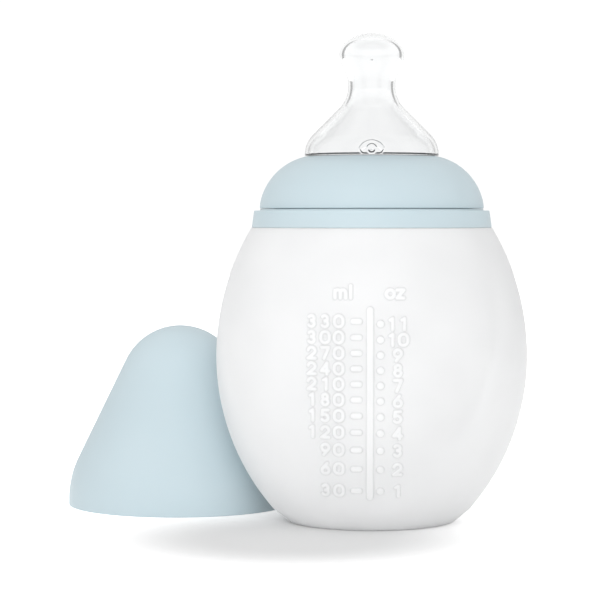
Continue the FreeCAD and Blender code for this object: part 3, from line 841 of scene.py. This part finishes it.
@dataclass
class ScrewThread:
    """A right-handed ridge on a round wall, which both threaded pieces carry."""

    start: float
    height: float = 1.1 * MM
    lead: float = 3.2 * MM
    turns: float = 1.25
    root: float = 1.3 * MM
    crest: float = 0.7 * MM
    run_out: float = 1.0 / 12.0
    rounding: float = 0.16 * MM
    row_spacing: float = 0.16 * MM
    column_spacing: float = 2.0

    def rise(self, angles: np.ndarray, up: np.ndarray) -> np.ndarray:
        """How far the ridge stands off the wall at each place.

        A place belongs to the turn whose middle line is nearest. The ridge's section is a
        trapezium across that line, and it runs out to nothing over its last twelfth of a turn.
        """
        turned = (angles - np.pi / 2) / (2 * np.pi) % 1.0
        lap = np.round((up - self.start) / self.lead - turned)
        along = np.clip(turned + lap, 0.0, self.turns)
        here = np.abs(turned + lap - along) < 0.001
        away = np.abs(up - self.start - self.lead * (turned + lap))
        slope = (self.root - self.crest) / 2
        section = np.clip((self.root / 2 - away) / slope, 0.0, 1.0)
        ends = smooth_step(np.minimum(along, self.turns - along) / self.run_out)
        return np.where(here, self.height * section * ends, 0.0)

    def carried(self, outline: np.ndarray, wall: float, low: float, high: float,
                row_spacing: float, row_turn: float) -> Turned:
        """A closed surface that carries this ridge on one upright wall.

        Args:
            outline: The closed outline, with sharp corners.
            wall: Radius of the wall.
            low: Height above which points on that radius belong to the wall.
            high: Height below which they do.
            row_spacing: Largest spacing of the rows away from the wall.
            row_turn: Turn from row to row, in degrees.

        Returns:
            The surface, ready to be built.
        """
        def on_wall(points: np.ndarray) -> np.ndarray:
            """Which points of the outline lie on the wall."""
            radius, height = points.T
            return (np.abs(radius - wall) < HAIR) & (height > low) & (height < high)

        dense = softened(outline, self.rounding)
        finest = np.where(on_wall(dense), self.row_spacing, 1.0)
        rows = spaced(dense, row_spacing, row_turn, finest)
        angles = columns(self.column_spacing)
        push = np.where(on_wall(rows)[:, None], self.rise(angles, rows[:, 1:]), 0.0)
        return Turned(rows, angles, closed=True, push=push)


@dataclass
class NeckRing:
    """The rigid ring round the soft neck: a band, a ledge and a threaded tube."""

    low: float
    high: float
    ledge: float = 96.0 * MM
    seat: float = 96.45 * MM
    seat_radius: float = 34.5 * MM
    bottom_radius: float = 37.1 * MM
    top_radius: float = 36.35 * MM
    tube_radius: float = 29.65 * MM
    bore: float = 27.95 * MM
    web: float = 2.0 * MM
    band_bore: float = 35.05 * MM
    row_spacing: float = 1.2 * MM
    row_turn: float = 10.0
    thread: ScrewThread = field(default_factory=lambda: ScrewThread(98.9 * MM))

    def build(self) -> bpy.types.Object:
        """Make the mesh, with the thread pushed out of the tube."""
        corners = run(
            (self.bottom_radius, self.low), (self.top_radius, self.ledge),
            (self.seat_radius, self.ledge), (self.seat_radius, self.seat),
            (self.tube_radius, self.seat), (self.tube_radius, self.high),
            (self.bore, self.high), (self.bore, self.ledge - self.web),
            (self.band_bore, self.ledge - self.web), (self.band_bore, self.low))
        surface = self.thread.carried(corners, self.tube_radius, self.ledge, math.inf,
                                      self.row_spacing, self.row_turn)
        return surface.build("neck_band")


@dataclass
class Collar:
    """The screw collar: a dome of two arcs with an aperture, a clamping rib and a thread."""

    radius: float
    low: float
    high: float
    land: float = 0.3 * MM
    side_round: float = 9.3 * MM
    side_angle: float = 13.5
    crown_land: float = 1.04 * MM
    wall: float = 1.8 * MM
    edge: float = 1.6 * MM
    aperture: float = 19.65 * MM
    recess: float = 21.2 * MM
    rib: float = 26.3 * MM
    clamp: float = 29.3 * MM
    clamp_height: float = 106.4 * MM
    bore: float = 31.25 * MM
    bore_top: float = 103.6 * MM
    bore_slope: float = 1.2 * MM
    row_spacing: float = 1.0 * MM
    row_turn: float = 6.0
    thread: ScrewThread = field(default_factory=lambda: ScrewThread(97.6 * MM))

    def outline(self) -> np.ndarray:
        """The closed outline: up the dome, in at the aperture and down inside.

        The crown's arc leaves the side's arc in its own direction, at the angle a, and ends at
        the flat top. With r in and h up between those two points, its radius is
        (r^2 + h^2) / (2 (r cos a - h sin a)).
        """
        side = np.radians(self.side_angle)
        out = np.array([np.cos(side), np.sin(side)])
        side_centre = np.array([self.radius - self.side_round, self.low + self.land])
        meet = side_centre + self.side_round * out
        reach = np.array([meet[0] - self.aperture - self.crown_land, self.high - meet[1]])
        crown_round = reach @ reach / (2 * (reach[0] * out[0] - reach[1] * out[1]))
        crown_centre = meet - crown_round * out
        crown_angle = math.degrees(math.asin((self.high - crown_centre[1]) / crown_round))
        inner = crown_round - self.wall
        spans = [math.degrees(math.acos((edge - crown_centre[0]) / inner))
                 for edge in (self.recess, self.rib)]
        return np.vstack([
            run((self.radius, self.low)),
            arc(side_centre, self.side_round, 0, self.side_angle),
            arc(crown_centre, crown_round, self.side_angle, crown_angle)[1:],
            run((self.aperture, self.high), (self.aperture, self.high - self.edge),
                (self.recess, self.high - self.edge)),
            arc(crown_centre, inner, *spans),
            run((self.rib, self.clamp_height), (self.clamp, self.clamp_height),
                (self.clamp, self.bore_top + self.bore_slope), (self.bore, self.bore_top),
                (self.bore, self.low)),
        ])

    def build(self) -> bpy.types.Object:
        """Make the mesh, with the thread pushed into the bore."""
        surface = self.thread.carried(self.outline(), self.bore, 0.0, self.bore_top,
                                      self.row_spacing, self.row_turn)
        return surface.build("collar_dome")


@dataclass(frozen=True)
class AirValve:
    """A raised disc with a hollow, inside an almond-shaped ridge.

    The almond is what two equal circles share, one moved up and one moved down.
    """

    height: float = 114.45 * MM
    disc_radius: float = 1.65 * MM
    disc_rise: float = 0.45
    hollow_radius: float = 1.1 * MM
    hollow_depth: float = 0.35
    almond_radius: float = 4.06 * MM
    almond_shift: float = 1.56 * MM
    ridge_rise: float = 0.22
    ridge_width: float = 0.32 * MM
    edge: float = 0.3 * MM

    def relief(self, across: np.ndarray, up: np.ndarray, low: float) -> np.ndarray:
        """How far the valve stands out at each place, above its lowest height."""
        rise = up - self.height
        away = np.hypot(across, rise)
        disc = smooth_step((self.disc_radius - away) / self.edge)
        hollow = smooth_step((self.hollow_radius - away) / self.edge)
        almond = self.almond_radius - np.maximum(np.hypot(across, rise + self.almond_shift),
                                                 np.hypot(across, rise - self.almond_shift))
        ridge = smooth_step(1.0 - np.abs(almond) / self.ridge_width)
        above = smooth_step((up - low - self.edge) / self.edge)
        return (self.disc_rise * disc - self.hollow_depth * hollow
                + self.ridge_rise * ridge) * MM * above


@dataclass(frozen=True)
class FeedingHole:
    """The place in the bulb's front where both of its skins dip towards each other."""

    height: float = 141.9 * MM
    radius: float = 0.5 * MM
    edge: float = 0.35 * MM
    depth: float = 0.55 * MM

    def dip(self, across: np.ndarray, up: np.ndarray, angles: np.ndarray) -> np.ndarray:
        """How far the skin dips at each place."""
        away = np.hypot(across, up - self.height)
        return self.depth * smooth_step((self.radius - away) / self.edge) * (np.cos(angles) > 0)


@dataclass
class Teat:
    """The clear teat: flange, groove, cone and a bulb that is wider than it is deep."""

    top: float
    flange_low: float = 105.0 * MM
    flange_high: float = 106.4 * MM
    flange_radius: float = 28.9 * MM
    flange_bore: float = 25.4 * MM
    skirt_radius: float = 25.9 * MM
    base_radius: float = 20.7 * MM
    groove_radius: float = 19.4 * MM
    shoulder_low: float = 109.95 * MM
    shoulder_high: float = 110.75 * MM
    collar_edge: float = 111.0 * MM
    collar_top: float = 112.6 * MM
    base_rise: float = 0.75 * MM
    base_round: float = 8.5 * MM
    slope: float = 45.0
    nape_radius: float = 7.25 * MM
    nape_height: float = 134.297 * MM
    nape_round: float = 9.6 * MM
    bulb_radius: float = 10.0 * MM
    bulb_height: float = 143.997 * MM
    bulb_share: float = 0.74
    nape_hold: float = 1.2
    wall: float = 1.2 * MM
    groove_gap: float = 0.25 * MM
    rounding: float = 0.14 * MM
    row_spacing: float = 0.7 * MM
    row_turn: float = 6.0
    column_spacing: float = 2.6
    valve: AirValve = AirValve()
    valve_rows: float = 0.13 * MM
    valve_columns: float = 0.42
    valve_reach: float = 3.0 * MM
    valve_half_width: float = 4.2 * MM
    hole: FeedingHole = FeedingHole()
    hole_rows: float = 0.12 * MM
    hole_reach: float = 1.0 * MM

    def bulb(self, inset: float) -> np.ndarray:
        """The bulb's half outline from the nape to the top, moved in by an inset.

        Below the widest place the radius follows half a cosine wave of the height's share,
        raised to a power that keeps it narrow above the nape. Above that place it follows a
        quarter of an ellipse.
        """
        share = np.linspace(0.0, 1.0, 60)
        nape, wide = self.nape_radius - inset, self.bulb_radius - inset
        rise = self.bulb_height - self.nape_height
        wave = (1 - np.cos(np.pi * share**self.nape_hold)) / 2
        lower = np.stack([nape + (wide - nape) * wave, self.nape_height + rise * share], 1)
        angle = share[1:] * np.pi / 2
        crown = self.top - self.bulb_height - inset
        upper = np.stack([wide * np.cos(angle), self.bulb_height + crown * np.sin(angle)], 1)
        return np.vstack([lower, upper])

    def cone(self, inset: float) -> np.ndarray:
        """The outline from the upright edge over the cone to the nape, moved in by an inset."""
        base = (self.base_radius - self.base_round, self.collar_top + self.base_rise)
        nape = (self.nape_radius + self.nape_round, self.nape_height)
        return np.vstack([arc(base, self.base_round - inset, 0, self.slope),
                          arc(nape, self.nape_round + inset, 180 + self.slope, 180)])

    def outline(self) -> np.ndarray:
        """From the top of the bulb down the inside, round the flange and up the outside."""
        bore = self.groove_radius - self.wall
        inside = np.vstack([
            run((self.flange_bore, self.flange_low), (bore, self.shoulder_low),
                (bore, self.collar_edge)),
            self.cone(self.wall),
            self.bulb(self.wall)[1:],
        ])
        groove_top = self.collar_top + self.groove_gap
        outside = np.vstack([
            run((self.flange_radius, self.flange_low), (self.flange_radius, self.flange_high),
                (self.skirt_radius, self.flange_high), (self.base_radius, self.shoulder_low),
                (self.base_radius, self.shoulder_high), (self.groove_radius, self.shoulder_high),
                (self.groove_radius, groove_top), (self.base_radius, groove_top)),
            self.cone(0.0),
            self.bulb(0.0)[1:],
        ])
        return np.vstack([inside[::-1], outside])

    def depth_share(self, height: np.ndarray) -> np.ndarray:
        """Depth of the teat over its width: even up to the nape, then flatter."""
        rise = (height - self.nape_height) / (self.bulb_height - self.nape_height)
        return 1.0 - (1.0 - self.bulb_share) * smooth_step(rise)

    def build(self) -> bpy.types.Object:
        """Make the mesh, with its air valves and its feeding hole."""
        half = softened_half(self.outline(), self.rounding)
        height = half[:, 1]
        outer = np.arange(len(half)) > np.argmin(height)
        near_valve = outer & (np.abs(height - self.valve.height) < self.valve_reach)
        near_hole = np.abs(height - self.hole.height) < self.hole_reach
        finest = np.where(near_valve, self.valve_rows, np.where(near_hole, self.hole_rows, 1.0))
        rows = spaced(half, self.row_spacing, self.row_turn, finest, closed=False)
        half_width = math.degrees(self.valve_half_width / self.base_radius)
        angles = columns(self.column_spacing, tuple(
            Zone(side, half_width, self.valve_columns) for side in (0.0, 180.0)))
        surface = Turned(rows, angles, closed=False, depth_share=self.depth_share(rows[:, 1]))
        across, up = rows[:, :1] * np.sin(angles), rows[:, 1:]
        outside = (np.arange(len(rows)) > np.argmin(rows[:, 1]))[:, None]
        surface.push = np.where(outside, self.valve.relief(across, up, self.collar_top), 0.0)
        surface.push -= self.hole.dip(across, up, angles)
        return surface.build("teat_skin")


@dataclass
class Cap:
    """The loose cap: a straight-sided cone between a round mouth and a round top."""

    centre: tuple[float, float]
    radius: float
    height: float
    wall: float = 1.3 * MM
    land: float = 2.0 * MM
    side_round: float = 30.4 * MM
    side_angle: float = 26.0
    rounding: float = 0.2 * MM
    row_spacing: float = 1.5 * MM
    row_turn: float = 4.0
    column_spacing: float = 2.0

    def outline(self) -> np.ndarray:
        """From the middle of the inside top down to the mouth and up the outside."""
        slope = math.radians(self.side_angle)
        side = (self.radius - self.side_round, self.land)
        reach = math.cos(slope) * side[0] + math.sin(slope) * side[1] + self.side_round
        crown = (reach - self.height * math.sin(slope)) / (1 - math.sin(slope))
        centre = (0.0, self.height - crown)
        outside, inside = (
            np.vstack([run((self.radius - inset, 0)),
                       arc(side, self.side_round - inset, 0, self.side_angle),
                       arc(centre, crown - inset, self.side_angle, 90)])
            for inset in (0.0, self.wall))
        return np.vstack([inside[::-1], outside])

    def build(self) -> bpy.types.Object:
        """Make the mesh at the cap's own place beside the bottle."""
        half = softened_half(self.outline(), self.rounding)
        rows = spaced(half, self.row_spacing, self.row_turn, closed=False)
        piece = Turned(rows, columns(self.column_spacing), closed=False).build("cap_cover")
        points = np.zeros(len(piece.data.vertices) * 3, np.float32)
        piece.data.vertices.foreach_get("co", points)
        points = points.reshape(-1, 3) + np.array([*self.centre, 0.0], np.float32)
        piece.data.vertices.foreach_set("co", points.ravel())
        piece.data.update()
        return piece


# ------------------------------------------------------------------------------- studio


@dataclass
class Studio:
    """A plain pale floor, a white surround, one soft light and the camera."""

    eye: float = 93.7 * MM
    distance: float = 690.0 * MM
    lens: float = 133.6
    turn: float = 1.84
    dip: float = 2.11
    floor_size: float = 6.0
    floor_white: float = 0.80
    floor_roughness: float = 0.6
    # the floor's painted glow, which fades out towards shade_place and leaves a painted shadow in
    # front of the object
    far_glow: float = 0.90
    shade_place: tuple[float, float, float] = (-22.0 * MM, -42.0 * MM, 0.0)
    glow_start: float = 22.0 * MM
    glow_reach: float = 92.0 * MM
    floor_bounce: float = 0.98
    seen_glow: float = 1.05
    mirrored_glow: float = 0.9
    level_glow: float = 0.39
    top_glow: float = 0.84
    post_glow: float = 0.4
    post_span: tuple[float, float] = (0.6, 0.9)
    key_place: tuple[float, float, float] = (-0.16, -1.1, 0.55)
    key_aim: float = 70.0 * MM
    key_size: float = 0.9
    key_power: float = 6.6

    def floor(self) -> None:
        """Lay the floor: one level square.

        Seen directly it is white, and it glows with painted light, as a lit sweep does, apart from a
        place in front of the object: there the glow fades out into a painted shadow, in which the
        lamps' soft shadows show. The light that it throws back onto the object has its own strength.
        """
        half = self.floor_size / 2
        square = np.array([(-half, -half, 0), (half, -half, 0), (half, half, 0), (-half, half, 0)])
        floor = mesh_object("floor", square, np.array([[0, 1, 2, 3]]))
        material, shader = new_material("pale_floor")
        tree = material.node_tree
        nodes, links = tree.nodes, tree.links
        shader.inputs["Base Color"].default_value = (*(self.floor_white,) * 3, 1.0)
        shader.inputs["Roughness"].default_value = self.floor_roughness
        shader.inputs["Specular IOR Level"].default_value = 0.0
        shader.inputs["Emission Color"].default_value = (1.0, 1.0, 1.0, 1.0)
        place, away = nodes.new("ShaderNodeTexCoord"), nodes.new("ShaderNodeVectorMath")
        away.operation = "DISTANCE"
        away.inputs[1].default_value = self.shade_place
        links.new(place.outputs["Object"], away.inputs[0])
        # Painted shadow: the glow fades to nothing towards shade_place, in front of the object.
        glow = spread(tree, away.outputs["Value"], (self.glow_start, self.glow_reach),
                      (0.0, self.far_glow))
        links.new(glow, shader.inputs["Emission Strength"])
        dull = nodes.new("ShaderNodeBsdfDiffuse")
        dull.inputs["Color"].default_value = (*(self.floor_bounce,) * 3, 1.0)
        seen = choose(tree, "Is Diffuse Ray", shader.outputs[0], dull.outputs[0])
        links.new(seen, nodes["Material Output"].inputs["Surface"])
        floor.data.materials.append(material)

    def surround(self) -> None:
        """White behind the object as seen, and softer light on it, brighter from the top.

        Light that comes through clear silicone also meets four narrow dim posts, one between
        each two sides of the room. With x and y the two level parts of a direction, the posts
        stand where cos(4a) = 2 ((x^2 - y^2) / (x^2 + y^2))^2 - 1 is near -1.
        """
        world = bpy.data.worlds.new("surround")
        bpy.context.scene.world = world
        world.use_nodes = True
        tree = world.node_tree
        nodes, links = tree.nodes, tree.links
        nodes.remove(nodes["Background"])
        place, parts = nodes.new("ShaderNodeTexCoord"), nodes.new("ShaderNodeSeparateXYZ")
        links.new(place.outputs["Generated"], parts.inputs[0])

        def layer(strength: object) -> bpy.types.NodeSocket:
            """White light of this strength."""
            node = nodes.new("ShaderNodeBackground")
            node.inputs["Color"].default_value = (1.0, 1.0, 1.0, 1.0)
            if isinstance(strength, float):
                node.inputs["Strength"].default_value = strength
            else:
                links.new(strength, node.inputs["Strength"])
            return node.outputs[0]

        squares = [maths(tree, "MULTIPLY", parts.outputs[axis], parts.outputs[axis])
                   for axis in (0, 1)]
        level = maths(tree, "MAXIMUM", maths(tree, "ADD", *squares), 1e-4)
        double = maths(tree, "DIVIDE", maths(tree, "SUBTRACT", *squares), level)
        between = maths(tree, "SUBTRACT", 1.0, maths(tree, "MULTIPLY", double, double))
        posts = spread(tree, between, self.post_span, (1.0, self.post_glow))
        dome = spread(tree, parts.outputs[2], (0.0, 1.0), (self.level_glow, self.top_glow))
        light = choose(tree, "Is Glossy Ray", layer(dome), layer(self.mirrored_glow))
        light = choose(tree, "Is Transmission Ray", light, layer(posts))
        light = choose(tree, "Is Camera Ray", light, layer(self.seen_glow))
        links.new(light, nodes["World Output"].inputs["Surface"])

    def key_light(self) -> None:
        """Hang one square soft light that faces the bottle's middle."""
        lamp = bpy.data.lights.new("key_light", "AREA")
        lamp.size = self.key_size
        lamp.energy = self.key_power
        holder = bpy.data.objects.new("key_light", lamp)
        holder.location = self.key_place
        holder.visible_glossy = False
        holder.visible_transmission = False
        aim = np.array([0.0, 0.0, self.key_aim]) - np.array(self.key_place)
        level = math.hypot(aim[0], aim[1])
        holder.rotation_euler = (math.atan2(level, -aim[2]), 0.0, math.atan2(-aim[0], aim[1]))
        bpy.context.scene.collection.objects.link(holder)

    def camera(self) -> None:
        """Stand the camera in front of the bottle, turned a little left and tipped down."""
        camera = bpy.data.objects.new("camera", bpy.data.cameras.new("camera"))
        camera.data.lens = self.lens
        camera.data.clip_start = 0.01
        camera.location = (0.0, -self.distance, self.eye)
        camera.rotation_euler = (math.radians(90.0 - self.dip), 0.0, math.radians(self.turn))
        bpy.context.scene.collection.objects.link(camera)
        bpy.context.scene.camera = camera

    def build(self) -> None:
        """Set the whole studio up."""
        bpy.context.scene.view_settings.view_transform = "Standard"
        self.floor()
        self.surround()
        self.key_light()
        self.camera()


def main() -> None:
    """Build every piece in order and report it."""
    logging.basicConfig(level=logging.INFO, format="%(message)s")
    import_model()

    finishes = Finishes()
    finishes.build()

    body_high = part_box("bottle_body")[1]
    ring_low, ring_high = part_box("neck_ring")
    collar_low, collar_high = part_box("collar")
    cap_low, cap_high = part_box("cap")

    bottle = SoftBottle(belly_radius=body_high.x).build()
    finishes.dress(bottle, "frosted_silicone", "bottle", "bottle_body")
    ring = NeckRing(low=ring_low.z, high=ring_high.z).build()
    finishes.dress(ring, "blue_plastic", "bottle", "neck_ring")
    collar = Collar(radius=collar_high.x, low=collar_low.z, high=collar_high.z).build()
    finishes.dress(collar, "blue_plastic", "collar", "collar")
    teat = Teat(top=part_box("teat")[1].z).build()
    finishes.dress(teat, "clear_silicone", "teat", "teat")
    centre = ((cap_low.x + cap_high.x) / 2, (cap_low.y + cap_high.y) / 2)
    cap = Cap(centre, radius=(cap_high.x - cap_low.x) / 2, height=cap_high.z).build()
    finishes.dress(cap, "blue_plastic", "cap", "cap")

    Studio().build()


if __name__ == "__main__":
    main()
